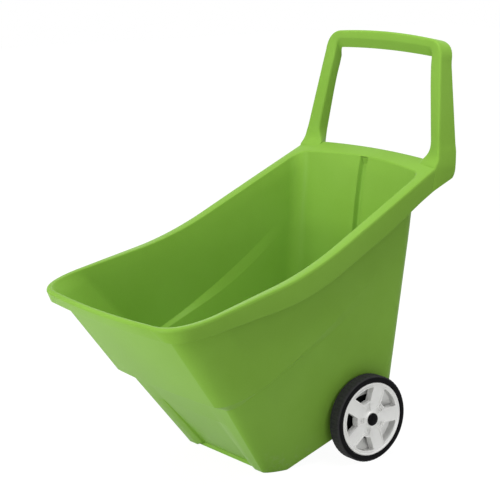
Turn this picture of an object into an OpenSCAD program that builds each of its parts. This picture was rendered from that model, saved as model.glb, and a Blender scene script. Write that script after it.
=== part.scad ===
// Garden cart: a moulded tub with its handle in one piece, on two spoked wheels.
// Millimetres. X runs across the cart, the pouring lip points to -Y and Z is up.
// The functions count Y from the axle; the modules then centre the cart on Y.

/* [Wheels] */
// Outside diameter of the tyre
wheel_d = 180; // [172:2:188]
// Width of the tyre
tyre_w = 31; // [27:1:34]
// Diameter of the spoked disc inside the tyre
disc_d = 153; // [146:1:158]
// Distance between the middles of the two wheels
track = 380; // [374:1:392]
// Diameter of the steel axle
axle_d = 12; // [10:1:14]
// Number of windows in each wheel
windows = 5; // [4:1:6]
// Number of ribs round the tread
tread_ribs = 48; // [36:2:60]

/* [Rim] */
// Distance from the axle forward to the corners of the lip
lip_reach = 521; // [511:1:531]
// How far the lip bows out past its corners
lip_bow = 9; // [2:1:16]
// Height of the lip at its corners
lip_h = 357.5; // [350:0.5:365]
// Width over the rim behind the lip corners
lip_w = 505; // [495:1:520]
// Width over the rim where the handle starts
rear_w = 436; // [434:1:442]
// Rise of the front half of the rim in degrees
front_slope = 12.1; // [11:0.1:13]
// Rise of the rear half of the rim in degrees
rear_slope = 26.1; // [25.5:0.1:26.5]
// Depth of the turned-down edge at the lip
skirt_front = 30; // [24:1:34]
// Depth of the turned-down edge along the sides
skirt_side = 52; // [46:1:56]

/* [Tub] */
// Wall thickness of the moulding
wall = 4; // [3:0.5:5]
// Lean of the front wall in degrees from upright
front_lean = 36.7; // [36:0.1:37.5]
// Depth of the step in the front wall
front_step = 29; // [22:1:34]
// Depth of the step in the side walls
side_step = 15; // [8:1:18]
// Height of the step at the front wall
step_h = 174; // [166:2:182]
// Width over the two feet
foot_span = 286; // [280:2:292]
// Width of the gap between the feet
foot_gap = 158; // [140:2:166]
// Lift of the front wall between the feet
foot_lift = 9; // [6:1:10]
// Length of each foot along the ground
foot_len = 50; // [44:1:56]
// Width of the groove in the rear wall
groove_w = 25; // [20:1:32]
// Depth of the groove in the rear wall
groove_d = 11; // [6:1:14]

/* [Handle] */
// Height of the top of the grip
grip_h = 856.5; // [850:0.5:864]
// Width over the handle below the grip
grip_w = 366; // [362:1:374]
// Width over the handle where it leaves the rim
handle_w = 426; // [422:1:430]
// Width of the front face of each arm
arm_w = 30; // [27:1:34]
// Height of the front face of the grip
grip_face = 19; // [16:1:22]
// Lean of the handle in degrees from upright
handle_lean = 9; // [8.5:0.1:9.5]
// Rise in the middle of the grip
grip_crown = 6; // [3:1:9]

/* [Hidden] */

// Colours
green = "#7aac40";
silver = "#c9c9c6";
rubber = "#26262a";
black = "#151517";
zinc = "#b4b6b8";

// Clearances
run = 0.08;
seat = 0.3;

// The cart is centred on Y between its lip and the back of its grip
lean = tan(handle_lean);
arm_low = 625;
function face_y(z) = 161 + lean * (z - arm_low);
grip_depth = 30;
rear_y = face_y(grip_h) + grip_depth;
mid_y = (lip_reach + lip_bow - rear_y) / 2;

// Helpers
function mix(a, b, t) = a + (b - a) * t;
function ramp(v, a, b) = min(1, max(0, (v - a) / (b - a)));
function ease(t) = t * t * (3 - 2 * t);
function arc(a, k, b, t) = (1 - t) * (1 - t) * a + 2 * t * (1 - t) * k + t * t * b;
function unit(v) = v / norm(v);
function flip(p) = [-p[0], p[1], p[2]];

// Triangles between rings of n points, each ring joined to the next one
function sides(rings, n) = [for (j = [0 : rings - 2], i = [0 : n - 1], s = [0, 1])
    let (a = j * n + i, b = j * n + (i + 1) % n, c = b + n, d = a + n)
    s == 0 ? [a, b, c] : [a, c, d]];

// Height of the rim above a point y: two slopes joined by a smooth bend
bend_y = -191;
bend_half = 85;
bend_rise = tan(rear_slope) - tan(front_slope);
function rim_z(y) = let (low = lip_h + (y + lip_reach) * tan(front_slope))
    y < bend_y - bend_half ? low
    : y > bend_y + bend_half ? low + (y - bend_y) * bend_rise
    : low + pow(y - bend_y + bend_half, 2) * bend_rise / (4 * bend_half);

// Depth of the turned-down edge at y
function skirt(y) = skirt_front + (skirt_side - skirt_front) * ease(ramp(y, -lip_reach - 10, bend_y + 60))
    - 6 * ramp(y, 30, 110);

// Step round the walls: it climbs to the back and fades out there
step_y = -lip_reach + 13.2 + (lip_h - step_h) * tan(front_lean);
step_drop = 11;
function step_z(y) = step_h + 0.37 * (y - step_y) + 0.0005 * pow(y - step_y, 2);
function step_low_z(y) = step_z(y)
    - mix(step_drop * 2, 7, ease(ramp(y, step_y + front_step, step_y + front_step + 67)))
    - 20 * ease(ramp(y, step_y + 96, step_y + 370));

// Underside and floor
axle_z = wheel_d / 2;
foot_y = step_y + front_step + (step_h - step_drop) * tan(front_lean);
foot_back = foot_y + foot_len;
flange_z = axle_z - 15;
recess_z = axle_z + axle_d / 2 + 12;
keel_slope = flange_z / (10 - foot_back);
function keel_z(y) = min(flange_z, max(0, (y - foot_back) * keel_slope));
function under_z(y) = max(keel_z(y), min(recess_z, (y - foot_back) * recess_z / (-30 - foot_back)));
function floor_z(y) = max(foot_lift + wall, under_z(y) + wall * 1.2);

// A plan outline is [front y, front half width, corner x, corner y, rear half width,
// rear y, rear corner, front bow, rear bow, side bow, corner fullness].
n_corner = 8;
n_side = 15;
n_turn = 6;
foot_t = (foot_gap / 2 - 2) / (foot_span / 2 - 17);
front_t = [0, foot_t / 4, foot_t / 2, foot_t * 3 / 4, foot_t, foot_t + 0.04, foot_t + 0.17,
    foot_t / 2 + 0.585];
n_front = len(front_t);
half_n = n_front + n_corner + n_side + n_turn + 6;
ring_n = 2 * (half_n - 1);

// Right half of an outline, from the middle of the front to the middle of the rear,
// with the flanks of the rear groove at half widths g and a groove of depth d
function half_outline(o, g, d) = let (
        a = [o[1], o[0]], b = [o[1] + o[2], o[0] + o[3]],
        k = a + [mix(0.72, 1, o[10]) * o[2], mix(0.12, 0, o[10]) * o[3]],
        c = [o[4], o[5] - o[6]], e = [o[4] - o[6], o[5]])
    [for (t = front_t) [o[1] * t, o[0] - o[7] * (1 - t * t)],
     for (i = [0 : n_corner]) arc(a, k, b, i / n_corner),
     for (i = [1 : n_side - 1]) let (t = i / n_side) mix(b, c, t) + [4 * o[9] * t * (1 - t), 0],
     for (i = [0 : n_turn]) arc(c, [o[4], o[5]], e, i / n_turn),
     for (x = [mix(e[0], g, 1 / 3), mix(e[0], g, 2 / 3), g + 2, g - 2, 0])
        [x, o[5] + o[8] * (1 - pow(x / e[0], 2)) + (x < g ? d : 0)]];

// The outline drawn in by d all round
function inset(o, d) = [o[0] + d * 1.25, o[1] - d * 0.35, max(2, o[2] - d * 0.65),
    max(2, o[3] - d * 0.95), o[4] - d, o[5] - d, max(2, o[6] - d * 0.7),
    o[7], o[8], o[9], o[10]];

// A level is a whole ring: an outline lifted to the heights z(y)
function whole(h) = concat(h, [for (i = [half_n - 2 : -1 : 1]) flip(h[i])]);
function level(o, z, g = groove_w / 2, d = 0) =
    whole([for (p = half_outline(o, g, d)) [p[0], p[1], z(p[1])]]);

// Plan outlines of the moulding, from the rim down to the feet
deck_back = 170;
rim_hw = lip_w / 2;
neck_drop = 26;
top_y = step_y - (lip_h - neck_drop + 6 - step_h) * tan(front_lean);
// The side walls run between the wheels, so their bow above the feet follows the track
foot_rear = track / 2 - 25.5;
axle_t = -(foot_y + 56) / (88.5 - 38 - foot_y - 56);
foot_bow = (track / 2 - 30.5 - mix(foot_span / 2, foot_rear, axle_t)) / (4 * axle_t * (1 - axle_t));
rim_o = [-lip_reach, rim_hw - 80, 80, 100, rear_w / 2, deck_back + 1, 26, lip_bow, 10, 4.5, 1];
skirt_o = [-lip_reach + 15, rim_hw - 61, 58, 85, rear_w / 2 - 0.5, deck_back + 1, 26, lip_bow, 10, 4.5, 1];
deck_o = [-lip_reach + 9, rim_hw - 89, 75, 95, rear_w / 2 - 21.5, 134, 40, lip_bow - 1, 14, 0, 1];
neck_o = [-lip_reach + 10.5, rim_hw - 89, 79, 95, rear_w / 2 - 17.5, 138, 40, lip_bow - 1, 13, 0, 1];
top_o = [top_y, rim_hw - 65, 50, 91, rear_w / 2 - 22.5, 134.6, 45, lip_bow - 2, 10, 1, 0];
step_o = [step_y, track / 2 - 20.5, 47, 91, track / 2, 126.5, 40, 5, 9, 0, 0];
low_o = [step_y + front_step, track / 2 - 23, 49 - side_step, 67, track / 2 - 0.5, 125.8, 40, 4, 9, 2.5, 0];
foot_o = [foot_y, foot_span / 2 - 17, 17, 56, foot_rear, 88.5, 38, 1, 7, foot_bow, 0];
outer_g = groove_w / 2 + wall;

// Lower wall at part f of the way from the step to the feet: the feet stand out of it
function lower(f, low, foot) = whole([for (i = [0 : half_n - 1])
    mix(low[i], foot[i], f) + [0, i < 5 ? 7 * max(0, f - 0.3) / 0.7 : 0, 0]]);

tub_rings = let (in_low = level(inset(low_o, wall), function (y) step_low_z(y) + 3, d = groove_d),
        in_foot = level(inset(foot_o, wall), function (y) floor_z(y) + 2, d = groove_d),
        in_top = level(inset(top_o, wall - 1), function (y) rim_z(y) - neck_drop, d = groove_d),
        in_deck = level(deck_o, function (y) rim_z(y) - 2, d = groove_d),
        low = level(low_o, function (y) step_low_z(y), outer_g, groove_d),
        foot = level(foot_o, function (y) keel_z(y), outer_g, groove_d)) [
    level(inset(foot_o, wall + 9), function (y) floor_z(y)),
    [for (i = [0 : ring_n - 1]) mix(in_foot[i], in_low[i], 0.06)],
    lower(0.7, in_low, in_foot),
    in_low,
    level(inset(step_o, wall), function (y) step_z(y) + 3, d = groove_d),
    in_top,
    [for (i = [0 : ring_n - 1]) mix(in_top[i], in_deck[i], 0.8)],
    level(deck_o, function (y) rim_z(y) - 2),
    level(inset(deck_o, -1.5), function (y) rim_z(y)),
    level(inset(rim_o, 3.5), function (y) rim_z(y)),
    level(inset(rim_o, 1), function (y) rim_z(y) - 1.5),
    level(rim_o, function (y) rim_z(y) - 5.5),
    level(skirt_o, function (y) rim_z(y) - skirt(y)),
    level(inset(skirt_o, 3.2), function (y) rim_z(y) - skirt(y)),
    level(inset(rim_o, 4.2), function (y) rim_z(y) - wall - 1.5),
    level(neck_o, function (y) rim_z(y) - wall - 1.5),
    level(top_o, function (y) rim_z(y) - neck_drop, outer_g, groove_d),
    level(step_o, function (y) step_z(y), outer_g, groove_d),
    low,
    lower(0.3, low, foot),
    lower(0.97, low, foot),
    foot,
    level(inset(foot_o, wall + 0.5), function (y) keel_z(y)),
    level(inset(foot_o, wall + 1.5), function (y) under_z(y))];

// Strips across a ring from its right side to its left side
function strips(base, down) = [for (i = [0 : half_n - 2]) let (
        a = base + i, b = base + i + 1, c = base + ring_n - i - 1, d = base + (ring_n - i) % ring_n,
        f = i == 0 ? [a, b, c] : i == half_n - 2 ? [a, b, d] : [a, b, c, d])
    down ? f : [for (k = [len(f) - 1 : -1 : 0]) f[k]]];

module place() translate([0, mid_y, 0]) children();

module tub_shell() {
    n = len(tub_rings);
    polyhedron(points = [for (r = tub_rings) each r],
        faces = concat(sides(n, ring_n), strips(0, false), strips((n - 1) * ring_n, true)),
        convexity = 10);
}

// Handle: a channel whose open side faces back, drawn through stations.
// Each station gives its outer front, inner front, outer rear and inner rear edges.
arm_high = 806;
arm_deep = 50;
function arm_line(z) = mix(handle_w, grip_w, ramp(z, arm_low, arm_high)) / 2;
function arm_out(z) = mix(arm_line(z), rear_w / 2 + 0.6, ease(ramp(z, arm_low + 15, arm_low - 35)));
function arm_in(z) = arm_line(z) - arm_w - 2 - 22 * pow(ramp(z, arm_low + 20, arm_low - 20), 2);
function arm_face(z) = face_y(z) - 9 * pow(ramp(z, arm_low - 4, arm_low - 28), 2);
function web_set(z) = mix(8, 2, ramp(z, arm_low, arm_high - 46));
function back_y(z) = min(face_y(z) + mix(arm_deep, grip_depth + 3, ramp(z, arm_low, arm_high - 10)), rear_y);
lip_drop = 21;

function arm_station(z) = [
    [arm_out(z), arm_face(z), z],
    [arm_in(z), arm_face(z) + web_set(z), z],
    [arm_out(z) - 1, back_y(z), z],
    [arm_line(z) - arm_w - 4, face_y(z) + web_set(z) + mix(25, 19, ramp(z, arm_low, arm_high - 16)),
        z - lip_drop * ease(ramp(z, arm_low + 75, arm_high + 12))]];

function foot_station(t) = let (z = mix(546, 592, t)) [
    [arm_out(z), arm_face(z), z],
    [arm_in(600), arm_face(z) + 8, z + 3],
    [arm_out(z) - 1, mix(190, 206, sqrt(1 - (1 - t) * (1 - t))), mix(567, 594, t)],
    [arm_line(600) - arm_w - 4, face_y(z) + 30, mix(566, 592, t)]];

corner_x = grip_w / 2 - 39;
function bow_station(x_out, z_out, x_in, z_in, t) = [
    [x_out, face_y(z_out), z_out],
    [x_in, face_y(z_in) + mix(2, 1, t), z_in],
    [x_out - 1 + t, mix(back_y(z_out), rear_y, t), z_out - 6 * t],
    [x_in - 2 * (1 - t), face_y(z_in) + mix(20, 9, t), z_in - lip_drop]];

function corner_station(t) = let (
        o = arc([grip_w / 2, arm_high], [grip_w / 2 - 3, grip_h - 11], [corner_x, grip_h - grip_crown], t),
        i = arc([arm_in(arm_high), arm_high + 9], [arm_in(arm_high) - 1, grip_h - grip_face - 4],
            [corner_x - 6, grip_h - grip_face - 4], t))
    bow_station(o[0], o[1], i[0], i[1], t);

function grip_station(t) = bow_station(corner_x * t, grip_h - grip_crown * t * t,
    (corner_x - 6) * t, grip_h - grip_face - 4 * t * t, 1);

half_stations = [
    for (t = [0, 0.25, 0.6, 1]) foot_station(t),
    for (z = [602, 608, 615, 624, 636, 652, 685, 720, 755, 785]) arm_station(z),
    for (i = [0 : 7]) corner_station(i / 7),
    for (i = [5 : -1 : 0]) grip_station(i / 6)];
n_half = len(half_stations);
stations = concat(half_stations,
    [for (i = [n_half - 2 : -1 : 0]) [for (p = half_stations[i]) flip(p)]]);

edge_r = 4;
web = 3.5;
function section(s) = let (w = unit(s[1] - s[0]), o = unit(s[2] - s[0]), i = unit(s[3] - s[1])) [
    s[2], s[0] + o * edge_r, s[0] + (o + w) * edge_r * 0.3, s[0] + w * edge_r,
    s[1] - w * edge_r, s[1] + (i - w) * edge_r * 0.3, s[1] + i * edge_r, s[3],
    s[3] - w * web, s[1] + (i - w) * web, s[0] + (o + w) * web, s[2] + w * web];

module handle() {
    n = len(stations);
    polyhedron(points = [for (s = stations) each section(s)],
        faces = concat(sides(n, 12),
            [[for (i = [11 : -1 : 0]) i]], [[for (i = [0 : 11]) (n - 1) * 12 + i]]),
        convexity = 10);
}

// Axle and its bosses
axle_r = axle_d / 2;
hub_in = track / 2 - 17.5;
hub_out = track / 2 + 15.7;
spacer_t = 1.6;
boss_r = axle_r + 7;
boss_len = 32.5;
boss_in = hub_in - boss_len;
boss_out = hub_in - spacer_t - 2 * seat;

module along_x(x0, x1, r) translate([x0, 0, axle_z]) rotate([0, 90, 0]) cylinder(h = x1 - x0, r = r, $fn = 72);

module both() {
    children();
    mirror([1, 0, 0]) children();
}

// Channel that parts the two feet
module foot_channel() {
    top = foot_gap / 2;
    translate([0, foot_back + 30, 0]) rotate([90, 0, 0]) linear_extrude(height = foot_len + 60)
        polygon([[-top, foot_lift], [-top - 24, -1], [top + 24, -1], [top, foot_lift]]);
}

module tub() color(green) place() {
    difference() {
        union() {
            tub_shell();
            handle();
            both() along_x(boss_in, boss_out, boss_r);
        }
        both() along_x(boss_in - 1, boss_out + 1, axle_r + run);
        foot_channel();
    }
}

axle_half = hub_out - 1.2;
module axle() color(zinc) place() translate([0, 0, axle_z]) rotate([0, 90, 0])
    rotate_extrude($fn = 72) polygon([[0, -axle_half], [axle_r - 1, -axle_half], [axle_r, 1 - axle_half],
        [axle_r, axle_half - 1], [axle_r - 1, axle_half], [0, axle_half]]);

// Everything at a wheel is drawn on the right, along +X from the middle of the cart
module wheel_place(side) place() scale_side(side) translate([0, 0, axle_z]) rotate([0, 90, 0]) children();
module scale_side(side) if (side > 0) children(); else mirror([1, 0, 0]) children();

disc_r = disc_d / 2;
drum_t = 3;
drum_r = disc_r - 5.5;
bead_r = disc_r - 3;
hub_r = 14;
cup_r = 11.3;
cup_depth = 5.2;
face_x = track / 2 + 13;
face_t = 4;
dish_r = 26;
dish = 2.5;
edge_x = track / 2 + 15.3;
back_x = track / 2 - 12;

// Half section of the spoked wheel: hub, dished face and drum
module wheel_section() polygon([
    [axle_r + run, hub_in], [hub_r - 1, hub_in], [hub_r, hub_in + 1], [hub_r + 1.5, face_x - face_t - 4],
    [dish_r, face_x - face_t - dish], [drum_r - 3, face_x - face_t], [drum_r - 2, back_x],
    [bead_r - 1, back_x], [bead_r, back_x + 1], [bead_r, edge_x - 6],
    [disc_r, edge_x - 5], [disc_r, edge_x - 1.4], [disc_r - 1.4, edge_x], [disc_r - 3.2, edge_x],
    [drum_r, face_x], [dish_r, face_x - dish], [hub_r + 2, face_x - 1], [hub_r + 1, hub_out - 0.8],
    [hub_r, hub_out], [cup_r, hub_out], [cup_r, hub_out - cup_depth], [axle_r + run, hub_out - cup_depth]]);

// Outline of a window or a hollow between two spokes
win_in = hub_r + 27;
win_out = drum_r - 3;
win_depth = 8;
win_round = 3;
hollow_in = hub_r + 6;
hollow_depth = 4.4;
hollow_end = win_in + 5;
hollow_round = 4;
lug_at = hub_r + 13;
lug_r = 3.2;
lug_depth = 5.2;
cut_h = 20;
module sector(r0, a0, r1, a1, round) offset(r = round, $fn = 24) offset(delta = -round) polygon(concat(
    [for (i = [-4 : 4]) r1 * [cos(a1 * i / 4), sin(a1 * i / 4)]],
    [for (i = [4 : -2 : -4]) r0 * [cos(a0 * i / 4), sin(a0 * i / 4)]]));

module wheel_rim(side) color(silver) wheel_place(side) difference() {
    rotate_extrude($fn = 144) wheel_section();
    for (k = [0 : windows - 1]) rotate([0, 0, 127 + k * 360 / windows]) {
        translate([0, 0, face_x - face_t - win_depth]) linear_extrude(height = cut_h)
            sector(win_in, 18, win_out, 22.5, win_round);
        translate([0, 0, face_x - hollow_depth]) linear_extrude(height = cut_h)
            sector(hollow_in, 15, hollow_end, 20, hollow_round);
        translate([lug_at, 0, face_x - lug_depth]) cylinder(h = cut_h, r = lug_r, $fn = 32);
    }
}

module wheel_rim_right() wheel_rim(1);
module wheel_rim_left() wheel_rim(-1);

// Tyre: a solid ring with a ribbed tread and a web that closes the wheel at the back
tyre_r = wheel_d / 2;
rib_h = 0.8;
rib_w = tyre_w - 8;
web_x = back_x - seat - track / 2;
module tyre(side) color(rubber) wheel_place(side) {
    rotate_extrude($fn = 144) translate([0, track / 2]) polygon([
        [hub_r + 2.2, 0.5 - tyre_w / 2], [hub_r + 2.2, web_x], [bead_r + run, web_x],
        [bead_r + run, edge_x - 6.1 - track / 2],
        [disc_r + run, edge_x - 5.1 - track / 2], [disc_r + run, edge_x - 1.5 - track / 2],
        [disc_r + 2, tyre_w / 2], [tyre_r - 6, tyre_w / 2], [tyre_r - 2.4, tyre_w / 2 - 1.2],
        [tyre_r - rib_h, tyre_w / 2 - 4], [tyre_r - rib_h, 4 - tyre_w / 2], [tyre_r - 2.4, 1.2 - tyre_w / 2],
        [tyre_r - 6, -tyre_w / 2], [bead_r + 2, -tyre_w / 2], [bead_r, 0.5 - tyre_w / 2]]);
    for (k = [0 : tread_ribs - 1]) rotate([0, 0, k * 360 / tread_ribs])
        translate([tyre_r - rib_h - 1, -1.6, track / 2 - rib_w / 2]) cube([rib_h + 1, 3.2, rib_w]);
}

module tyre_right() tyre(1);
module tyre_left() tyre(-1);

// Hub cap: a shallow dome with a dimple and a ring that plugs into the hub
cap_r = 13.2;
module hub_cap(side) color(black) wheel_place(side) rotate_extrude($fn = 96) translate([0, hub_out]) polygon([
    [cup_r - run, -3], [cup_r - run, seat], [cap_r, seat], [cap_r, 1.6], [cap_r - 1.2, 3.4],
    [cap_r - 3.4, 4.8], [cap_r - 6, 5.6], [4.6, 6], [3.6, 5.4], [0, 5.2], [0, 3.4], [cap_r - 5.5, 3.4],
    [cup_r - 1.6, 1.2], [cup_r - 1.6, -3]]);

module hub_cap_right() hub_cap(1);
module hub_cap_left() hub_cap(-1);

module washer(side, x, r, t) color(zinc) wheel_place(side) translate([0, 0, x]) difference() {
    cylinder(h = t, r = r, $fn = 72);
    translate([0, 0, -1]) cylinder(h = t + 2, r = axle_r + run / 2, $fn = 72);
}

// Push-on washer that holds the wheel on the axle, inside the hub's cup
lock_x = hub_out - cup_depth + seat;
module lock_washer_right() washer(1, lock_x, cup_r - 2, 1.4);
module lock_washer_left() washer(-1, lock_x, cup_r - 2, 1.4);

// Plain washer between the boss and the hub
module spacer_washer_right() washer(1, boss_out + seat, boss_r - 1, spacer_t);
module spacer_washer_left() washer(-1, boss_out + seat, boss_r - 1, spacer_t);

tub();
axle();
wheel_rim_left();
wheel_rim_right();
tyre_left();
tyre_right();
hub_cap_left();
hub_cap_right();
lock_washer_left();
lock_washer_right();
spacer_washer_left();
spacer_washer_right();
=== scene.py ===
"""Garden cart: a moulded tub and handle in one piece, on two silver wheels with black tyres.

The tub, the wheel discs and the tyres are made here and stand for the cart's solids of the same
form. The axle, the washers and the hub caps are those solids themselves, with a finish on them.
Sizes are in millimetres: x and y count from the middle of the axle, and z from the ground.
"""
from collections import namedtuple
from math import cos, pi, radians, sin, sqrt, tan

import bmesh
import bpy
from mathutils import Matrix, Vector


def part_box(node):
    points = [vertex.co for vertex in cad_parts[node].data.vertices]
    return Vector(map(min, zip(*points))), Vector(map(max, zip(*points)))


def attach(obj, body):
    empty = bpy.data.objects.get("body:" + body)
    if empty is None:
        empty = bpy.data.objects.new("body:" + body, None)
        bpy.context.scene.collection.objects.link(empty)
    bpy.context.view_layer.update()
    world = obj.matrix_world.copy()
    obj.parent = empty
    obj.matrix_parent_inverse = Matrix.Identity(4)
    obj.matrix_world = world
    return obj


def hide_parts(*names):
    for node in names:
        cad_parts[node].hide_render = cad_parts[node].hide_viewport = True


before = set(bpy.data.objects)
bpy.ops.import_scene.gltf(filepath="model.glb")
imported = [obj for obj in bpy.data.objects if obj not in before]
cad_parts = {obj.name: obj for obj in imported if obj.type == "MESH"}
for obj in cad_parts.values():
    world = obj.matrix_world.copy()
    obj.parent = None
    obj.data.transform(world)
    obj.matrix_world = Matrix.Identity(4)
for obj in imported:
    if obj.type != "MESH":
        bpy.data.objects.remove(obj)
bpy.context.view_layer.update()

MM = 0.001
X, Y, Z = 0, 1, 2


def low(node, axis):
    """Where a solid of the cart begins, in metres."""
    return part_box(node)[0][axis]


def high(node, axis):
    """Where it ends."""
    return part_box(node)[1][axis]


def span(node, axis):
    """Size of a solid of the cart in millimetres."""
    return round((high(node, axis) - low(node, axis)) / MM, 2)


# Driving sizes, read from the cart's own solids
AXLE = [(low("axle", axis) + high("axle", axis)) / 2 for axis in (X, Y, Z)]
AXLE_H = AXLE[Z] / MM
AXLE_R = span("axle", Z) / 2
TYRE_R = span("tyre_right", Z) / 2
TYRE_HALF = span("tyre_right", X) / 2
DISC_R = span("wheel_rim_right", Z) / 2
TRACK = round((low("tyre_right", X) + high("tyre_right", X)) / MM, 2)
RIM_W = span("tub", X)
RIM_FRONT = round((AXLE[Y] - low("tub", Y)) / MM, 2)

# Clearances: between turning faces, and between pieces that sit on each other
RUN, SEAT = 0.08, 0.3

# ---------------------------------------------------------------- finishes


class Value:
    """A socket of a graph. Sums and products of it add the nodes that work them out."""

    def __init__(self, graph, socket):
        self.graph = graph
        self.socket = socket

    def maths(self, operation, *terms):
        return self.graph.node("ShaderNodeMath", {"operation": operation}, dict(enumerate(terms)))

    def __add__(self, other):
        return self.maths("ADD", self, other)

    __radd__ = __add__

    def __mul__(self, other):
        return self.maths("MULTIPLY", self, other)

    __rmul__ = __mul__

    def __sub__(self, other):
        return self.maths("SUBTRACT", self, other)

    def __rsub__(self, other):
        return self.maths("SUBTRACT", other, self)

    def __pow__(self, other):
        return self.maths("POWER", self, other)

    def __abs__(self):
        return self.maths("ABSOLUTE", self)

    def either(self, other):
        return self.maths("MAXIMUM", self, other)

    def between(self, start, end):
        """0 below start, 1 above end and smooth in between."""
        return self.graph.node(
            "ShaderNodeMapRange", {"interpolation_type": "SMOOTHSTEP"},
            {"Value": self, "From Min": start, "From Max": end})


class Graph:
    """The nodes of a finish or of the room."""

    def __init__(self, tree):
        self.tree = tree

    def node(self, kind, settings=None, sockets=None, out=0):
        made = self.tree.nodes.new(kind)
        for key, value in (settings or {}).items():
            setattr(made, key, value)
        for key, value in (sockets or {}).items():
            self.feed(made.inputs[key], value)
        return Value(self, made.outputs[out])

    def feed(self, socket, value):
        if isinstance(value, Value):
            self.tree.links.new(value.socket, socket)
        else:
            socket.default_value = value

    def looked_at(self):
        """1 where the camera, a gloss or a glass looks, and 0 for light that falls on things."""
        camera, gloss, glass = [self.node("ShaderNodeLightPath", out="Is %s Ray" % kind)
                                for kind in ("Camera", "Glossy", "Transmission")]
        return camera.either(gloss).either(glass)


class Finish(Graph):
    """A material with its surface shader, built up from textures that lie still on the piece."""

    def __init__(self, name, **surface):
        self.material = bpy.data.materials.new(name)
        self.material.use_nodes = True
        super().__init__(self.material.node_tree)
        self.shader = self.tree.nodes["Principled BSDF"]
        self.place = self.node("ShaderNodeTexCoord", out="Object")
        self.surface(**surface)

    def surface(self, **values):
        for key, value in values.items():
            self.feed(self.shader.inputs[key.replace("_", " ")], value)

    def axes(self):
        split = self.node("ShaderNodeSeparateXYZ", None, {"Vector": self.place})
        return [Value(self, socket) for socket in split.socket.node.outputs]

    def stretched(self, x, y, z):
        return self.node("ShaderNodeVectorMath", {"operation": "MULTIPLY"},
                         {0: self.place, 1: (x, y, z)})

    def noise(self, scale, detail=2.0, roughness=0.5, place=None):
        return self.node("ShaderNodeTexNoise", None, {
            "Vector": place or self.place, "Scale": scale, "Detail": detail,
            "Roughness": roughness}, "Fac")

    def blend(self, mask, first, second):
        """A mix of two colours, which are the node's sockets 6 and 7, with its colour output 2."""
        return self.node("ShaderNodeMix", {"data_type": "RGBA"}, {0: mask, 6: first, 7: second}, 2)

    def bump(self, height, distance, strength=1.0, under=None):
        sockets = {"Height": height, "Distance": distance, "Strength": strength}
        if under:
            sockets["Normal"] = under
        return self.node("ShaderNodeBump", None, sockets, "Normal")


def scratches(finish, scale, width, turn):
    """Thin broken lines that run one way."""
    lines = finish.node("ShaderNodeMapping", None, {
        "Vector": finish.place, "Rotation": turn, "Scale": (1, 14, 1)})
    vein = finish.noise(scale, 2, 0.6, lines)
    thin = 1 - abs(vein - 0.5).between(0, width)
    return thin * finish.noise(scale * 0.35, 2).between(0.55, 0.72)


def green_plastic():
    """Satin moulded plastic with the fine grain of the mould, and scuffs near the ground."""
    finish = Finish("tub_green_plastic", IOR=1.48, Specular_IOR_Level=0.04)
    height = finish.axes()[Z]
    cloud = finish.noise(5, 3, 0.55)
    speck = finish.noise(340, 2, 0.6)
    grain = finish.noise(1500, 2, 0.6)
    flow = finish.noise(9, 2, 0.5, finish.stretched(1, 1, 0.25))
    near_ground = 1 - height.between(0.0, 0.075)
    scuff = scratches(finish, 42, 0.014, (0.2, 0.3, 0.5)) * 0.5
    rub = near_ground * finish.noise(46, 4, 0.7).between(0.5, 0.72)
    body = finish.blend(cloud.between(0.3, 0.7), (0.213, 0.415, 0.05, 1), (0.23, 0.442, 0.06, 1))
    body = finish.blend(speck.between(0.35, 0.75) * 0.15, body, (0.27, 0.48, 0.08, 1))
    body = finish.blend(rub * 0.32 + scuff * 0.1, body, (0.36, 0.47, 0.24, 1))
    wave = finish.bump(flow, 0.0012, 0.35)
    finish.surface(
        Base_Color=body,
        Roughness=0.26 + 0.08 * cloud + 0.07 * speck + 0.2 * rub + 0.14 * scuff,
        Normal=finish.bump(grain + speck * 0.6 - scuff * 0.4, 0.00012, 0.5, wave))
    return finish.material


def silver_plastic():
    """Silver grey plastic with fine metal flake in it."""
    finish = Finish("wheel_silver_plastic", Metallic=0.25)
    flake = finish.node("ShaderNodeTexVoronoi", None,
                        {"Vector": finish.place, "Scale": 1500}, "Distance")
    cloud = finish.noise(30, 3)
    dust = finish.noise(120, 4, 0.7).between(0.5, 0.8)
    tone = finish.blend(cloud, (0.76, 0.76, 0.745, 1), (0.82, 0.82, 0.80, 1))
    tone = finish.blend(flake.between(0.1, 0.6) * 0.25, tone, (0.88, 0.88, 0.87, 1))
    tone = finish.blend(dust * 0.1, tone, (0.5, 0.49, 0.46, 1))
    finish.surface(
        Base_Color=tone,
        Roughness=0.33 + 0.1 * cloud + 0.12 * dust,
        Normal=finish.bump(flake, 0.00008, 0.4))
    return finish.material


def tyre_rubber():
    """Black rubber, duller and greyer on the tread that meets the ground."""
    finish = Finish("tyre_black_rubber", Specular_IOR_Level=0.04)
    _, y, z = finish.axes()
    radius = ((y - AXLE[Y]) ** 2 + (z - AXLE[Z]) ** 2) ** 0.5
    tread = radius.between((TYRE_R - 3.8) * MM, (TYRE_R - 1.5) * MM)
    grit = finish.noise(260, 4, 0.65)
    grain = finish.noise(1300, 3, 0.6)
    tone = finish.blend(grit, (0.004, 0.004, 0.005, 1), (0.008, 0.008, 0.009, 1))
    tone = finish.blend(tread * (0.3 + 0.4 * grit), tone, (0.08, 0.078, 0.083, 1))
    finish.surface(
        Base_Color=tone,
        Roughness=0.42 + 0.12 * grit + 0.2 * tread,
        Normal=finish.bump(grain + grit, 0.00018, 0.6))
    return finish.material


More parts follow.
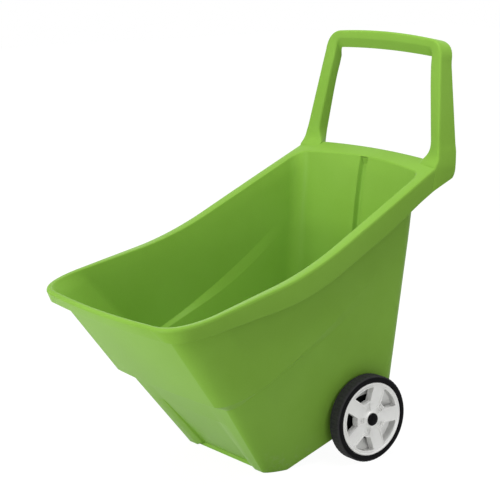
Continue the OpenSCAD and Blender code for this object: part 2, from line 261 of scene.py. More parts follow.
def black_plastic():
    """Hard black plastic, polished, with a few rub marks."""
    finish = Finish("cap_black_plastic", Specular_IOR_Level=0.04)
    haze = finish.noise(160, 3, 0.6)
    rub = scratches(finish, 300, 0.02, (0.4, 0.1, 0.9))
    finish.surface(
        Base_Color=finish.blend(haze, (0.003, 0.003, 0.004, 1), (0.008, 0.008, 0.009, 1)),
        Roughness=0.2 + 0.1 * haze + 0.25 * rub,
        Normal=finish.bump(finish.noise(1800, 2), 0.00005, 0.4))
    return finish.material


def zinc_steel(name, along):
    """Zinc plated steel, drawn or turned along one direction."""
    finish = Finish(name, Metallic=1.0)
    drawn = finish.noise(90, 3, 0.6, finish.stretched(*along))
    bloom = finish.noise(70, 4, 0.7).between(0.45, 0.75)
    tone = finish.blend(drawn, (0.47, 0.48, 0.50, 1), (0.58, 0.59, 0.60, 1))
    finish.surface(
        Base_Color=finish.blend(bloom * 0.4, tone, (0.38, 0.37, 0.34, 1)),
        Roughness=0.27 + 0.12 * drawn + 0.2 * bloom,
        Normal=finish.bump(drawn, 0.0001, 0.5))
    return finish.material


GREEN = green_plastic()
SILVER = silver_plastic()
RUBBER = tyre_rubber()
BLACK = black_plastic()
ZINC_BAR = zinc_steel("axle_zinc", (0.05, 6, 6))
ZINC_WASHER = zinc_steel("washer_zinc", (3, 1, 1))

# ---------------------------------------------------------------- shaping helpers

# The sharpest turn that is rounded in full, in radians, how much of a side a corner may take, its
# least length, and how far apart points may lie that become one, in metres
SHARPEST_TURN = 2.6
CORNER_SHARE = 0.45
SHORTEST_CORNER = 0.02
WELD = 2e-6


def mix(a, b, t):
    if isinstance(a, (tuple, list)):
        return tuple(p + (q - p) * t for p, q in zip(a, b))
    return a + (b - a) * t


def ramp(v, start, end):
    """0 at start, 1 at end and straight in between."""
    return min(1.0, max(0.0, (v - start) / (end - start)))


def ease(t):
    return t * t * (3 - 2 * t)


def arc(a, knee, b, t):
    """A curve from a to b that leaves and arrives in line with its knee."""
    return tuple((1 - t) ** 2 * p + 2 * t * (1 - t) * q + t * t * r
                 for p, q, r in zip(a, knee, b))


def spread(start, end, count):
    return [mix(start, end, i / count) for i in range(count + 1)]


def rounded(points, radii, steps=4):
    """The same path with each corner turned on its own radius, where it has one. Paths with the
    same radii have as many points, so neighbouring paths join up."""
    path = [Vector(p) for p in points]
    out = []
    for i, (here, radius) in enumerate(zip(path, radii)):
        if not radius:
            out.append(here)
            continue
        back = path[i - 1] - here
        ahead = path[(i + 1) % len(path)] - here
        turn = min(pi - back.angle(ahead, pi), SHARPEST_TURN)
        longest = CORNER_SHARE * min(back.length, ahead.length)
        reach = max(min(radius * tan(turn / 2), longest), SHORTEST_CORNER)
        a = here + back.normalized() * reach
        b = here + ahead.normalized() * reach
        out += [Vector(arc(a, here, b, t)) for t in spread(0, 1, steps)]
    return out


def sleeve(count, n, closed=False):
    """Faces of a sleeve of rings with n points each. A closed one joins its last to its first."""
    faces = []
    for ring in range(count if closed else count - 1):
        here, after = ring * n, (ring + 1) % count * n
        for i in range(n):
            k = (i + 1) % n
            faces.append((here + i, here + k, after + k, after + i))
    return faces


def merged(*shapes):
    points, faces = [], []
    for more_points, more_faces in shapes:
        base = len(points)
        points += [tuple(p) for p in more_points]
        faces += [tuple(base + i for i in face) for face in more_faces]
    return points, faces


def turned(corners, radii, side, steps):
    """A section of (distance along the axle, radius) with its corners rounded, turned round the
    axle on the right side of the cart, or on the left for side -1."""
    path = rounded([(x, r, 0) for x, r in corners], radii)
    points = []
    for step in range(steps):
        a = 2 * pi * step / steps
        points += [(side * x, r * sin(a), AXLE_H + r * cos(a)) for x, r, _ in path]
    return points, sleeve(steps, len(path), closed=True)


def skin(name, points, faces, weld=0.0):
    """A mesh whose faces all look outwards."""
    mesh = bpy.data.meshes.new(name)
    mesh.from_pydata(points, [], faces)
    work = bmesh.new()
    work.from_mesh(mesh)
    if weld:
        bmesh.ops.remove_doubles(work, verts=work.verts, dist=weld)
    bmesh.ops.recalc_face_normals(work, faces=work.faces)
    work.to_mesh(mesh)
    work.free()
    return mesh


def put(name, data):
    made = bpy.data.objects.new(name, data)
    bpy.context.scene.collection.objects.link(made)
    return made


def piece(name, shape, material, body, smooth, stands_for):
    """A shape with its finish and its body, smooth up to an angle between its faces."""
    points, faces = shape
    mesh = skin(name, [(x * MM, y * MM + AXLE[Y], z * MM) for x, y, z in points], faces, WELD)
    mesh.shade_smooth()
    mesh.set_sharp_from_angle(angle=radians(smooth))
    mesh.materials.append(material)
    made = put(name, mesh)
    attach(made, body)
    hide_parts(*stands_for)


def coat(node, material):
    """A finish on a solid that shows as it is."""
    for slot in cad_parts[node].material_slots:
        slot.material = material


# ---------------------------------------------------------------- tub

WALL = 4
LIP_BOW, LIP_H, REAR_W = 9, 357.5, 436
LIP_REACH = RIM_FRONT - LIP_BOW
HALF_RIM = RIM_W / 2
FRONT_SLOPE, REAR_SLOPE = tan(radians(12.1)), tan(radians(26.1))
BEND_Y, BEND_HALF = -191, 85
SKIRT_FRONT, SKIRT_SIDE = 30, 52
HEM_RISE, HEM_RISE_Y, HEM_TOP_Y = 6, 30, 110
LIP_T = WALL + 1.5
DECK_BACK = 170
NECK_BACK, NECK_DROP, NECK_RISE = 13.2, 26, 6
FRONT_LEAN = tan(radians(36.7))
FRONT_STEP, SIDE_STEP, STEP_H, STEP_DROP = 29, 15, 174, 11
STEP_RISE, STEP_CURVE = 0.37, 0.0005
STEP_SIDE_DROP, STEP_REAR_DROP = 7, 20
TURN_LEN, REAR_START, REAR_LEN = 67, 96, 274
LEDGE_UP, LEDGE_THIN, THIN_START, THIN_END, THIN_LEN = 3, 4.5, 20, 120, 180
STEP_Y = -LIP_REACH + NECK_BACK + (LIP_H - STEP_H) * FRONT_LEAN
LOW_Y = STEP_Y + FRONT_STEP
TOP_Y = STEP_Y - (LIP_H - NECK_DROP + NECK_RISE - STEP_H) * FRONT_LEAN
FOOT_SPAN, FOOT_GAP, FOOT_LIFT, FOOT_LEN, FOOT_PUSH = 286, 158, 9, 50, 7
FOOT_Y = LOW_Y + (STEP_H - STEP_DROP) * FRONT_LEAN
FOOT_BACK = FOOT_Y + FOOT_LEN
FOOT_CORNER = 17
ARCH_LEN, ARCH_H = 24, 10
FLANGE_DROP, FLANGE_Y = 15, 10
RECESS_GAP, RECESS_Y = 12, -30
FLANGE_Z = AXLE_H - FLANGE_DROP
RECESS_Z = AXLE_H + AXLE_R + RECESS_GAP
KEEL_SLOPE = FLANGE_Z / (FLANGE_Y - FOOT_BACK)
RECESS_SLOPE = RECESS_Z / (RECESS_Y - FOOT_BACK)
GROOVE_W, GROOVE_D = 25, 11
OUTER_G = GROOVE_W / 2 + WALL


def rim_z(y):
    """Top of the rim: two slopes joined by a smooth bend."""
    front = LIP_H + (y + LIP_REACH) * FRONT_SLOPE
    if y < BEND_Y - BEND_HALF:
        return front
    more = REAR_SLOPE - FRONT_SLOPE
    if y > BEND_Y + BEND_HALF:
        return front + (y - BEND_Y) * more
    return front + (y - BEND_Y + BEND_HALF) ** 2 * more / (4 * BEND_HALF)


def hem_z(x, y):
    """Lower edge of the skirt, which hangs deeper along the sides than at the front."""
    deeper = ease(ramp(y, -LIP_REACH - 10, BEND_Y + 60))
    rise = HEM_RISE * ramp(y, HEM_RISE_Y, HEM_TOP_Y)
    return rim_z(y) - mix(SKIRT_FRONT, SKIRT_SIDE, deeper) + rise


def step_z(y):
    """Upper edge of the step that runs round the tub."""
    return STEP_H + STEP_RISE * (y - STEP_Y) + STEP_CURVE * (y - STEP_Y) ** 2


def step_low_z(y):
    """Lower edge of the step, which is deepest at the front and grows again to the rear."""
    at_side = ease(ramp(y, LOW_Y, LOW_Y + TURN_LEN))
    at_rear = ease(ramp(y, STEP_Y + REAR_START, STEP_Y + REAR_START + REAR_LEN))
    return step_z(y) - mix(STEP_DROP * 2, STEP_SIDE_DROP, at_side) - STEP_REAR_DROP * at_rear


def ledge_z(y):
    """The ledge inside starts thinner than the step outside, behind the front corners."""
    begun = ease(ramp(y, LOW_Y + THIN_START, LOW_Y + TURN_LEN))
    ended = ease(ramp(y, LOW_Y + THIN_END, LOW_Y + THIN_END + THIN_LEN))
    return step_low_z(y) + LEDGE_UP + LEDGE_THIN * begun * (1 - ended)


def keel_z(x, y):
    """Bottom edge of the walls, lifted between the feet and behind them."""
    lifted = min(FOOT_LIFT, (FOOT_GAP / 2 + ARCH_LEN - abs(x)) * ARCH_H / ARCH_LEN - 1)
    return max(min(FLANGE_Z, (y - FOOT_BACK) * KEEL_SLOPE), lifted, 0)


def under_z(x, y):
    """Underside of the floor, which clears the axle."""
    return max(keel_z(x, y), min(RECESS_Z, (y - FOOT_BACK) * RECESS_SLOPE))


def floor_z(x, y):
    return max(FOOT_LIFT + WALL, under_z(x, y) + WALL * 1.2)


# Outline of the tub seen from above: where its front lies and half the front's straight width,
# the front corners' width and length, half the width at the rear, where the rear lies and its
# corners' radius, how far front, rear and sides bow outwards, and how full the front corners are
Outline = namedtuple("Outline", "front half corner_w corner_l rear_half rear rear_corner "
                                "front_bow rear_bow side_bow fullness")
RIM = Outline(-LIP_REACH, HALF_RIM - 80, 80, 100, REAR_W / 2, DECK_BACK + 1, 26,
              LIP_BOW, 10, 4.5, 1)
SKIRT = RIM._replace(front=-LIP_REACH + 15, half=HALF_RIM - 61, corner_w=58, corner_l=85,
                     rear_half=REAR_W / 2 - 0.5)
DECK = Outline(-LIP_REACH + 9, HALF_RIM - 89, 75, 95, REAR_W / 2 - 21.5, 134, 40,
               LIP_BOW - 1, 14, 0, 1)
NECK = Outline(-LIP_REACH + 10.5, HALF_RIM - 89, 79, 95, REAR_W / 2 - 17.5, 138, 40,
               LIP_BOW - 1, 13, 0, 1)
TOP = Outline(TOP_Y, HALF_RIM - 65, 50, 91, REAR_W / 2 - 22.5, 134.6, 45, LIP_BOW - 2, 10, 1, 0)
STEP = Outline(STEP_Y, 169.5, 47, 91, 190, 126.5, 40, 5, 9, 0, 0)
LOW = Outline(LOW_Y, 167, 49 - SIDE_STEP, 67, 188.4, 123.9, 40, 4, 9, 2.5, 0)
LEDGE = LOW._replace(corner_w=LOW.corner_w + 4, side_bow=-2)
FOOT = Outline(FOOT_Y, FOOT_SPAN / 2 - FOOT_CORNER, FOOT_CORNER, 56, 164.5, 88.5, 38, 1, 7, 0, 0)

# Where the points of an outline lie: shares of the front and of its corner, closer together at
# the feet's inner edges, then steps along the side, round the rear corner and across the rear
FOOT_T, FOOT_EDGE = (FOOT_GAP / 2 - 2) / FOOT.half, 0.04
FRONT_T = (spread(0, FOOT_T, 8) + spread(FOOT_T, FOOT_T + FOOT_EDGE, 5)[1:]
           + spread(FOOT_T + FOOT_EDGE, 1, 7)[1:-1] + [0.988])
CORNER_T = [0, 0.014] + spread(0, 1, 18)[1:]
SIDE_STEPS, TURN_STEPS, BACK_STEPS = 44, 16, 10
FLANK = (3.2, 1.6, 0.8, 0.2, -0.5, -1.2, -2.2, -3.4, -4.6, -5.6)


def inset(o, d):
    """The outline drawn in by d all round, and more where the front leans."""
    return o._replace(
        front=o.front + d * 1.25, half=o.half - d * 0.35,
        corner_w=max(2, o.corner_w - d * 0.65), corner_l=max(2, o.corner_l - d * 0.95),
        rear_half=o.rear_half - d, rear=o.rear - d, rear_corner=max(2, o.rear_corner - d * 0.7))


def groove(x, g):
    """How deep the groove is at x. Inside the tub its flanks slope more than on the rib behind."""
    return ease(ramp(x, g + 2.4, g - 2.4) if g > GROOVE_W / 2 else ramp(x, g + 0.8, g - 5.5))


def level(o, height, g=GROOVE_W / 2, d=0.0):
    """Right half of an outline from the middle of the front to the middle of the rear, lifted
    to height(x, y), with a groove of half width g and depth d down the rear."""
    corner = (o.half, o.front)
    knee = (o.half + mix(0.72, 1, o.fullness) * o.corner_w,
            o.front + mix(0.12, 0, o.fullness) * o.corner_l)
    side = (o.half + o.corner_w, o.front + o.corner_l)
    side_end = (o.rear_half, o.rear - o.rear_corner)
    back = (o.rear_half - o.rear_corner, o.rear)
    plan = [(o.half * t, o.front - o.front_bow * (1 - t * t)) for t in FRONT_T]
    plan += [arc(corner, knee, side, t) for t in CORNER_T]
    for t in spread(0, 1, SIDE_STEPS)[1:-1]:
        x, y = mix(side, side_end, t)
        plan.append((x + 4 * o.side_bow * t * (1 - t), y))
    plan += [arc(side_end, (o.rear_half, o.rear), back, t) for t in spread(0, 1, TURN_STEPS)]
    for x in spread(back[0], g + 6, BACK_STEPS)[1:] + [g + f for f in FLANK] + [g * 0.25, 0]:
        plan.append((x, o.rear + o.rear_bow * (1 - (x / back[0]) ** 2) + d * groove(x, g)))
    return [(x, y, height(x, y)) for x, y in plan]


def rim_level(o, rise):
    """An outline that follows the rim, at a height above it."""
    return level(o, lambda x, y: rim_z(y) + rise)


def wall_level(o, height, inside=False):
    """An outline of the wall with the groove: its inner face, or the rib on its outer face."""
    return level(o, height, GROOVE_W / 2 if inside else OUTER_G, GROOVE_D)


def blend_rings(a, b, t):
    return [mix(p, q, t) for p, q in zip(a, b)]


def between_feet(ring, push=FOOT_PUSH):
    """The ring with its front drawn back between the feet."""
    drawn = list(ring)
    for i, t in enumerate(FRONT_T):
        x, y, z = ring[i]
        drawn[i] = (x, y + push * (1 - ease(ramp(t, FOOT_T, FOOT_T + FOOT_EDGE))), z)
    return drawn


def lower_wall(share, step, foot):
    """Wall at a share of the way from the step to the feet, which stand out of it."""
    return between_feet(blend_rings(step, foot, share), FOOT_PUSH * max(0, share - 0.3) / 0.7)


def tub_rings():
    """Rings from the floor up the inside, over the rim and down the outside, with the radius
    on which the wall turns at each."""
    in_foot = wall_level(inset(FOOT, WALL), lambda x, y: floor_z(x, y) + 2, inside=True)
    in_ledge = wall_level(inset(LEDGE, WALL), lambda x, y: ledge_z(y), inside=True)
    in_step = wall_level(inset(STEP, WALL), lambda x, y: step_z(y) + LEDGE_UP, inside=True)
    in_top = wall_level(inset(TOP, WALL - 1), lambda x, y: rim_z(y) - NECK_DROP, inside=True)
    in_deck = wall_level(DECK, lambda x, y: rim_z(y) - 2, inside=True)
    top = wall_level(TOP, lambda x, y: rim_z(y) - NECK_DROP)
    step = wall_level(STEP, lambda x, y: step_z(y))
    low_step = wall_level(LOW, lambda x, y: step_low_z(y))
    foot = wall_level(FOOT, keel_z)
    return [
        (level(inset(FOOT, WALL + 9), floor_z), 0),
        (blend_rings(in_foot, in_ledge, 0.06), 14),
        (lower_wall(0.7, in_ledge, in_foot), 60),
        (in_ledge, 4),
        (in_step, 3),
        (in_top, 120),
        (blend_rings(in_top, in_deck, 0.93), 3),
        (rim_level(DECK, -2), 2.5),
        (rim_level(inset(DECK, -1.5), 0), 2.5),
        (rim_level(inset(RIM, 3.5), 0), 2.2),
        (rim_level(inset(RIM, 1), -1.5), 2.2),
        (rim_level(RIM, -LIP_T), 6),
        (level(SKIRT, hem_z), 1.2),
        (level(inset(SKIRT, 3.2), hem_z), 1.2),
        (rim_level(inset(RIM, 4.2), -LIP_T), 2),
        (rim_level(NECK, -LIP_T), 3),
        (top, 20),
        (step, 3.5),
        (low_step, 3.5),
        (lower_wall(0.3, low_step, foot), 80),
        (lower_wall(0.97, low_step, foot), 12),
        (between_feet(foot), 2.5),
        (between_feet(level(inset(FOOT, WALL + 0.5), keel_z)), 1.5),
        (between_feet(level(inset(FOOT, WALL + 1.5), under_z)), 0)]


def tub_shell():
    """The rings mirrored to both sides and joined, with the floor closed from side to side."""
    rings = tub_rings()
    half = len(rings[0][0])
    columns = [rounded([ring[i] for ring, _ in rings], [radius for _, radius in rings])
               for i in range(half)]
    order = list(range(half)) + list(range(2 - half, 0))
    rows, n = len(columns[0]), len(order)
    points = []
    for row in range(rows):
        for i in order:
            x, y, z = columns[abs(i)][row]
            points.append((-x if i < 0 else x, y, z))
    faces = sleeve(rows, n)
    for base in (0, (rows - 1) * n):
        for i in range(half - 1):
            here, after = base + i, base + i + 1
            across, across_after = base + (n - i) % n, base + n - i - 1
            if i == 0:
                faces.append((here, after, across_after))
            elif i == half - 2:
                faces.append((here, after, across))
            else:
                faces.append((here, after, across_after, across))
    return points, faces


# ---------------------------------------------------------------- handle

GRIP_H, GRIP_W, GRIP_FACE, GRIP_CROWN, GRIP_DEPTH = 856.5, 366, 19, 6, 30
HANDLE_W, ARM_W = 426, 30
HANDLE_LEAN = tan(radians(9))
ROOT_LOW, ROOT_HIGH, ROOT_IN_Z, ARM_LOW, ARM_HIGH = 546, 592, 600, 625, 806
ROOT_REAR, ROOT_REAR_Z, ROOT_INNER_Z = (190, 206), (567, 594), (566, 592)
ROOT_SPREAD, ROOT_SWEEP = 22, 9
ARM_FACE_Y = 161
FRONT_TAPER, REAR_TAPER = 2, 4
DEPTH_LOW, DEPTH_HIGH = 50, 33
LIP_DROP = 21
WEB = 3.5
CORNER_X = GRIP_W / 2 - 39
ROOT_T = (0, 0.12, 0.25, 0.42, 0.6, 0.8, 1)
ARM_Z = (597, 602, 605, 608, 612, 615, 619, 624, 630, 636, 644, 652, 668, 685, 702, 720, 738,
         755, 770, 785, 796)
CORNER_STEPS, GRIP_STEPS = 18, 14

# Radii of the channel's corners: round its outside from the outer rear edge, then along its inside
CHANNEL_RADII = (0.9, 5.5, 5, 0.9, 0.9, 2.5, 2.5, 0.9)


def face_y(z):
    return ARM_FACE_Y + HANDLE_LEAN * (z - ARM_LOW)


REAR_Y = face_y(GRIP_H) + GRIP_DEPTH


def arm_line(z):
    """Half the handle's width, which narrows up to the grip."""
    return mix(HANDLE_W, GRIP_W, ramp(z, ARM_LOW, ARM_HIGH)) / 2


def arm_out(z):
    """Outer edge of the arm, which runs into the tub's side at its root."""
    return mix(arm_line(z), REAR_W / 2 + 0.6, ease(ramp(z, ARM_LOW + 15, ARM_LOW - 35)))


def arm_in(z):
    """Inner edge of the arm, which spreads at its root."""
    spreading = ramp(z, ARM_LOW + 20, ARM_LOW - 20) ** 2
    return arm_line(z) - ARM_W - FRONT_TAPER - ROOT_SPREAD * spreading


def arm_face(z):
    """Front face of the arm, which sweeps forwards at its root."""
    return face_y(z) - ROOT_SWEEP * ramp(z, ARM_LOW - 4, ARM_LOW - 28) ** 2


def web_set(z):
    """How much further back the inner edge of the front face lies than the outer one."""
    return mix(8, 2, ramp(z, ARM_LOW, 760))


def inner_rear(z):
    """Inner edge of the arm at its open rear side."""
    return arm_line(z) - ARM_W - REAR_TAPER


def back_y(z):
    return min(face_y(z) + mix(DEPTH_LOW, DEPTH_HIGH, ramp(z, ARM_LOW, 796)), REAR_Y)


# Each station gives the outer front, inner front, outer rear and inner rear edges
def root_station(t):
    z = mix(ROOT_LOW, ROOT_HIGH, t)
    return ((arm_out(z), arm_face(z), z),
            (arm_in(ROOT_IN_Z), arm_face(z) + 8, z + 3),
            (arm_out(z) - 1, mix(*ROOT_REAR, sqrt(1 - (1 - t) ** 2)), mix(*ROOT_REAR_Z, t)),
            (inner_rear(ROOT_IN_Z), face_y(z) + 30, mix(*ROOT_INNER_Z, t)))


def arm_station(z):
    inner_z = z - LIP_DROP * ease(ramp(z, 700, 818))
    inner_depth = web_set(z) + mix(25, 19, ramp(z, ARM_LOW, 790))
    return ((arm_out(z), arm_face(z), z),
            (arm_in(z), arm_face(z) + web_set(z), z),
            (arm_out(z) - 1, back_y(z), z),
            (inner_rear(inner_z), face_y(z) + inner_depth, inner_z))


def bow_station(x_out, z_out, x_in, z_in, t):
    """Station of the bow that joins the arms, with t from 0 at the arm to 1 at the grip."""
    return ((x_out, face_y(z_out), z_out),
            (x_in, face_y(z_in) + mix(2, 1, t), z_in),
            (x_out - 1 + t, mix(back_y(z_out), REAR_Y, t), z_out - 6 * t),
            (x_in, face_y(z_in) + mix(20, 9, t), z_in - LIP_DROP))


def corner_station(t):
    inner = GRIP_H - GRIP_FACE - 4
    outer_edge = arc((GRIP_W / 2, ARM_HIGH), (GRIP_W / 2 - 3, GRIP_H - 11),
                     (CORNER_X, GRIP_H - GRIP_CROWN), t)
    inner_edge = arc((arm_in(ARM_HIGH), 815), (arm_in(ARM_HIGH) - 1, inner),
                     (CORNER_X - 6, inner), t)
    return bow_station(*outer_edge, *inner_edge, t)


def grip_station(t):
    return bow_station(CORNER_X * t, GRIP_H - GRIP_CROWN * t * t,
                       (CORNER_X - 6) * t, GRIP_H - GRIP_FACE - 4 * t * t, 1)


def channel(station):
    """Outline of the channel at a station: two flanks with the web between them in front."""
    outer, inner, outer_back, inner_back = [Vector(p) for p in station]
    across = (inner - outer).normalized()
    outer_flank = (outer_back - outer).normalized()
    inner_flank = (inner_back - inner).normalized()
    corners = [outer_back, outer, inner, inner_back, inner_back - across * WEB,
               inner + (inner_flank - across) * WEB, outer + (outer_flank + across) * WEB,
               outer_back + across * WEB]
    return rounded(corners, CHANNEL_RADII)


def handle():
    """A channel whose open side faces back, drawn through stations along the loop."""
    half = [root_station(t) for t in ROOT_T]
    half += [arm_station(z) for z in ARM_Z]
    half += [corner_station(t) for t in spread(0, 1, CORNER_STEPS)]
    half += [grip_station(t) for t in spread(1, 0, GRIP_STEPS)[1:]]
    stations = half + [[(-x, y, z) for x, y, z in station] for station in half[-2::-1]]
    rings = [channel(station) for station in stations]
    n, total = len(rings[0]), len(rings) * len(rings[0])
    ends = [tuple(range(n)), tuple(range(total - n, total))]
    return [p for ring in rings for p in ring], sleeve(len(rings), n) + ends


# ---------------------------------------------------------------- bosses for the axle

HUB_IN, HUB_OUT = TRACK / 2 - 17.5, TRACK / 2 + 15.7
BOSS_START, BOSS_END, BOSS_WALL, BOSS_STEPS = 140, HUB_IN - 2.2, 7, 64


def boss(side):
    bore, outside = AXLE_R + RUN, AXLE_R + BOSS_WALL
    section = ((BOSS_START, bore), (BOSS_END, bore), (BOSS_END, outside), (BOSS_START, outside))
    return turned(section, (0.4, 0.4, 1, 1), side, BOSS_STEPS)


# ---------------------------------------------------------------- wheels

# Radii and places along the axle of the disc, and how thick and how deep its forms are
DRUM_R, BEAD_R, BOWL_R, DISH_R, HUB_R, CUP_R = DISC_R - 5.5, DISC_R - 3, 47, 26, 14, 11.3
FACE_X, EDGE_X, BACK_X = TRACK / 2 + 13, TRACK / 2 + 15.3, TRACK / 2 - 12
FACE_T, DISH, BOWL_T, CUP_DEPTH = 5.5, 2.5, 2, 5.2
SPOKES, SPOKE_TURN, WHEEL_STEPS = 5, 127, 144
RAISED_T, RAISED_H = 2, 0.8
POCKET_DEPTH, HOLLOW_DEPTH, HOLLOW_EDGE, LUG_DEPTH = 15, 4.3, 1.3, 5.4
LUG_AT, LUG_R, LUG_STEPS = HUB_R + 10.5, 3, 32
SECTOR_STEPS = 12, 10
BORE_R = AXLE_R + RUN

# Half section of a wheel as distance along the axle, radius and the turn of the corner
WHEEL_SECTION = (
    (HUB_IN, BORE_R, 0.3), (HUB_IN, HUB_R - 1, 0.3), (HUB_IN + 1, HUB_R, 0.3),
    (FACE_X - FACE_T - 4, HUB_R + 1.5, 1), (FACE_X - FACE_T - DISH, DISH_R, 3),
    (FACE_X - FACE_T, DRUM_R - 3, 2), (TRACK / 2 - 4, DRUM_R - 2.5, 2),
    (BACK_X + BOWL_T, BOWL_R, 0.4), (BACK_X, BOWL_R, 0.4), (BACK_X, BEAD_R - 1, 0.4),
    (BACK_X + 1, BEAD_R, 0.4), (EDGE_X - 6, BEAD_R, 0.3), (EDGE_X - 5, DISC_R, 0.3),
    (EDGE_X - 1.4, DISC_R, 0.8), (EDGE_X, DISC_R - 1.4, 0.8), (EDGE_X, DISC_R - 3.2, 0.8),
    (FACE_X, DRUM_R, 0.8), (FACE_X - DISH, DISH_R, 8), (FACE_X - 1, HUB_R + 2, 1.5),
    (HUB_OUT - 0.8, HUB_R + 1, 0.5), (HUB_OUT, HUB_R, 0.5), (HUB_OUT, CUP_R, 0.3),
    (HUB_OUT - CUP_DEPTH, CUP_R, 0.3), (HUB_OUT - CUP_DEPTH, BORE_R, 0.3))


def sector(inner, inner_angle, outer, outer_angle, corner, grow=0.0):
    """Outline between two radii and two angles either way, grown all round."""
    near, far = inner - grow, outer + grow
    near_half = radians(inner_angle) + grow / near
    far_half = radians(outer_angle) + grow / far
    far_steps, near_steps = SECTOR_STEPS
    path = [(far * cos(a), far * sin(a), 0) for a in spread(far_half, -far_half, far_steps)]
    path += [(near * cos(a), near * sin(a), 0) for a in spread(-near_half, near_half, near_steps)]
    turns = [0] * len(path)
    for number in (0, far_steps, far_steps + 1, len(path) - 1):
        turns[number] = corner + grow
    return rounded(path, turns, steps=6)


def window(grow=0.0):
    return sector(HUB_R + 24, 13, DRUM_R - 4, 23, 1.5, grow)


def hollow(grow=0.0):
    return sector(HUB_R + 4, 17, HUB_R + 19, 14, 2, grow)


def lug():
    return [(LUG_AT + LUG_R * cos(a), LUG_R * sin(a), 0) for a in spread(0, 2 * pi, LUG_STEPS)[:-1]]


def prisms(outline, start, end, side):
    """The outline drawn along the axle from start to end, once for each window of the wheel."""
    n = len(outline)
    faces = sleeve(2, n) + [tuple(range(n)), tuple(range(2 * n - 1, n - 1, -1))]
    parts = []
    for k in range(SPOKES):
        turn = radians(SPOKE_TURN + k * 360 / SPOKES)
        points = [(side * x, p[0] * sin(turn) + p[1] * cos(turn),
                   AXLE_H - p[0] * cos(turn) + p[1] * sin(turn))
                  for x in (start, end) for p in outline]
        parts.append((points, faces))
    return merged(*parts)


def worked(body, steps):
    """The body with each solid of the steps joined on or cut away in turn."""
    target = put("work", skin("work", *body))
    tools = []
    for operation, shape in steps:
        tools.append(put("work", skin("work", *shape)))
        step = target.modifiers.new("step", "BOOLEAN")
        step.operation, step.solver, step.object = operation, "EXACT", tools[-1]
    shaped = target.evaluated_get(bpy.context.evaluated_depsgraph_get())
    mesh = bpy.data.meshes.new_from_object(shaped)
    points = [tuple(v.co) for v in mesh.vertices]
    faces = [tuple(face.vertices) for face in mesh.polygons]
    for made in [target] + tools:
        bpy.data.objects.remove(made)
    return points, faces


def wheel_rim(side):
    """A dished disc whose windows and hollows have a raised lip and walls that run inwards."""
    out = HUB_OUT + 5
    pocket, dent = FACE_X - POCKET_DEPTH, FACE_X - HOLLOW_DEPTH
    body = turned([(x, r) for x, r, _ in WHEEL_SECTION], [turn for _, _, turn in WHEEL_SECTION],
                  side, WHEEL_STEPS)
    return worked(body, (
        ("UNION", prisms(window(RAISED_T), pocket, FACE_X + RAISED_H, side)),
        ("UNION", prisms(hollow(1), dent - RAISED_T, FACE_X - HOLLOW_EDGE, side)),
        ("DIFFERENCE", prisms(window(), pocket - 1, out, side)),
        ("DIFFERENCE", prisms(hollow(), dent, out, side)),
        ("DIFFERENCE", prisms(lug(), FACE_X - LUG_DEPTH, out, side))))


# ---------------------------------------------------------------- tyres

RIBS, RIB_T, RIB_H, RIB_HALF, RIB_FLANK = 60, 6.2, 0.5, TYRE_HALF - 4, 0.35
SHOULDER_R, GROUND_R = TYRE_R - 6, TYRE_R - RIB_H
WEB_X = BACK_X - SEAT - TRACK / 2
EDGE = EDGE_X - TRACK / 2

# Section of a tyre as distance from its own middle, radius and the turn of the corner
TYRE_SECTION = (
    (0.5 - TYRE_HALF, HUB_R + 2.2, 0.5), (WEB_X, HUB_R + 2.2, 0.5), (WEB_X, BEAD_R + RUN, 0.3),
    (EDGE - 6.1, BEAD_R + RUN, 0.3), (EDGE - 5.1, DISC_R + RUN, 0.3),
    (EDGE - 1.5, DISC_R + RUN, 0.4), (TYRE_HALF, DISC_R + 2, 0.8),
    (TYRE_HALF, SHOULDER_R, 2.5), (TYRE_HALF - 1.2, TYRE_R - 2.4, 1.5),
    (RIB_HALF + 0.3, GROUND_R, 0), (RIB_HALF, TYRE_R, 0),
    (-RIB_HALF, TYRE_R, 0), (-RIB_HALF - 0.3, GROUND_R, 0),
    (1.2 - TYRE_HALF, TYRE_R - 2.4, 1.5), (-TYRE_HALF, SHOULDER_R, 2.5),
    (-TYRE_HALF, BEAD_R + 2, 1), (0.5 - TYRE_HALF, BEAD_R, 0.5))


def tyre(side):
    """A solid ring with a low ribbed tread and a web that closes the wheel at the back."""
    path = rounded([(x, r, 0) for x, r, _ in TYRE_SECTION], [turn for _, _, turn in TYRE_SECTION])
    pitch, half = 2 * pi / RIBS, RIB_T / 2 / TYRE_R
    foot = half + RIB_FLANK / TYRE_R
    points = []
    for rib in range(RIBS):
        for a, top in ((-foot, GROUND_R), (-half, TYRE_R), (0, TYRE_R), (half, TYRE_R),
                       (foot, GROUND_R)):
            turn = rib * pitch + a
            points += [(side * (TRACK / 2 + x), min(r, top) * sin(turn),
                        AXLE_H + min(r, top) * cos(turn)) for x, r, _ in path]
    return points, sleeve(len(points) // len(path), len(path), closed=True)


# ---------------------------------------------------------------- the cart's pieces

piece("tub_moulding", merged(tub_shell(), handle(), boss(1), boss(-1)), GREEN, "cart",
      smooth=32, stands_for=("tub",))
coat("axle", ZINC_BAR)
for name, side in (("right", 1), ("left", -1)):
    body = "wheel_" + name
    piece("rim_" + name, wheel_rim(side), SILVER, body,
          smooth=28, stands_for=("wheel_rim_" + name,))
    piece("ribbed_tyre_" + name, tyre(side), RUBBER, body,
          smooth=30, stands_for=("tyre_" + name,))
    coat("hub_cap_" + name, BLACK)
    coat("lock_washer_" + name, ZINC_WASHER)
    coat("spacer_washer_" + name, ZINC_WASHER)

# ---------------------------------------------------------------- studio

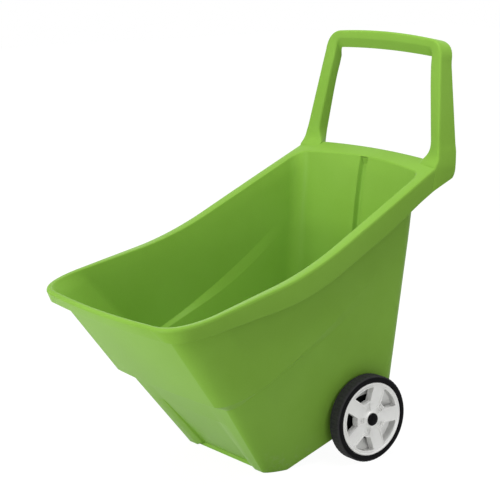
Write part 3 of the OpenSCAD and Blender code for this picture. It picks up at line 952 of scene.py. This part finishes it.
MIDDLE = (0, 0, 0.35)
HIGHER = (0, 0, 0.4)
FLOOR_HALF = 9
FLOOR_GLOW, GLOW_SHARE = 1.2, 0.8
ROOM_LIGHT = 0.35
CAMERA_TURN, CAMERA_TILT, CAMERA_LENS, FILM_WIDTH = radians(52.764), radians(11.719), 120.17, 36
CAMERA_PLACE = (2.65268, -2.17326 + AXLE[Y], 1.1196)


def soft_lamp(name, place, aim, size, power):
    data = bpy.data.lights.new(name, "AREA")
    data.shape = "RECTANGLE"
    data.size, data.size_y = size
    data.energy = power
    lamp = put(name, data)
    lamp.location = place
    lamp.rotation_euler = (Vector(aim) - Vector(place)).to_track_quat("-Z", "Y").to_euler()


def floor_material():
    """Pale floor that shows white where it is looked at, and keeps the cart's soft shadow."""
    finish = Finish("studio_floor", Base_Color=(0.6, 0.6, 0.6, 1), Roughness=0.9)
    glow = finish.node("ShaderNodeEmission", None, {"Strength": FLOOR_GLOW})
    plain = Value(finish, finish.shader.outputs[0])
    both = finish.node("ShaderNodeMixShader", None,
                       {0: finish.looked_at() * GLOW_SHARE, 1: plain, 2: glow})
    finish.feed(finish.tree.nodes["Material Output"].inputs["Surface"], both)
    return finish.material


def studio_floor():
    corners = [(x * FLOOR_HALF, y * FLOOR_HALF, 0) for x, y in ((-1, -1), (1, -1), (1, 1), (-1, 1))]
    mesh = bpy.data.meshes.new("floor")
    mesh.from_pydata(corners, [], [(0, 1, 2, 3)])
    mesh.materials.append(floor_material())
    return put("floor", mesh)


def studio_room():
    """A room that lights the cart softly and is white where it is looked at."""
    world = bpy.data.worlds.new("studio")
    world.use_nodes = True
    graph = Graph(world.node_tree)
    room = graph.tree.nodes["Background"]
    graph.feed(room.inputs["Color"], (1, 1, 1, 1))
    graph.feed(room.inputs["Strength"], graph.looked_at() * (1 - ROOM_LIGHT) + ROOM_LIGHT)
    return world


def camera():
    data = bpy.data.cameras.new("camera")
    data.lens = CAMERA_LENS
    data.sensor_width = FILM_WIDTH
    made = put("camera", data)
    backward = Vector((sin(CAMERA_TURN) * cos(CAMERA_TILT),
                       -cos(CAMERA_TURN) * cos(CAMERA_TILT), sin(CAMERA_TILT)))
    made.location = CAMERA_PLACE
    made.rotation_euler = backward.to_track_quat("Z", "Y").to_euler()
    return made


soft_lamp("key_front", (-0.65, -3.1, 0.7), MIDDLE, (1.1, 1.2), 39)
soft_lamp("kick_front", (-0.4, -2.6, 0.1), (0, -0.3, 0.1), (1.6, 0.16), 15)
soft_lamp("top", (0.6, 0, 2.9), HIGHER, (1.6, 1.2), 52)
soft_lamp("rim_light", (-2.4, 1.3, 1.2), HIGHER, (0.6, 0.5), 5)
soft_lamp("fill_right", (2.9, -0.7, 0.6), MIDDLE, (1.6, 0.8), 10)

floor = studio_floor()
bpy.context.scene.world = studio_room()
bpy.context.scene.camera = camera()
bpy.context.scene.view_settings.view_transform = "Standard"

bpy.context.view_layer.update()
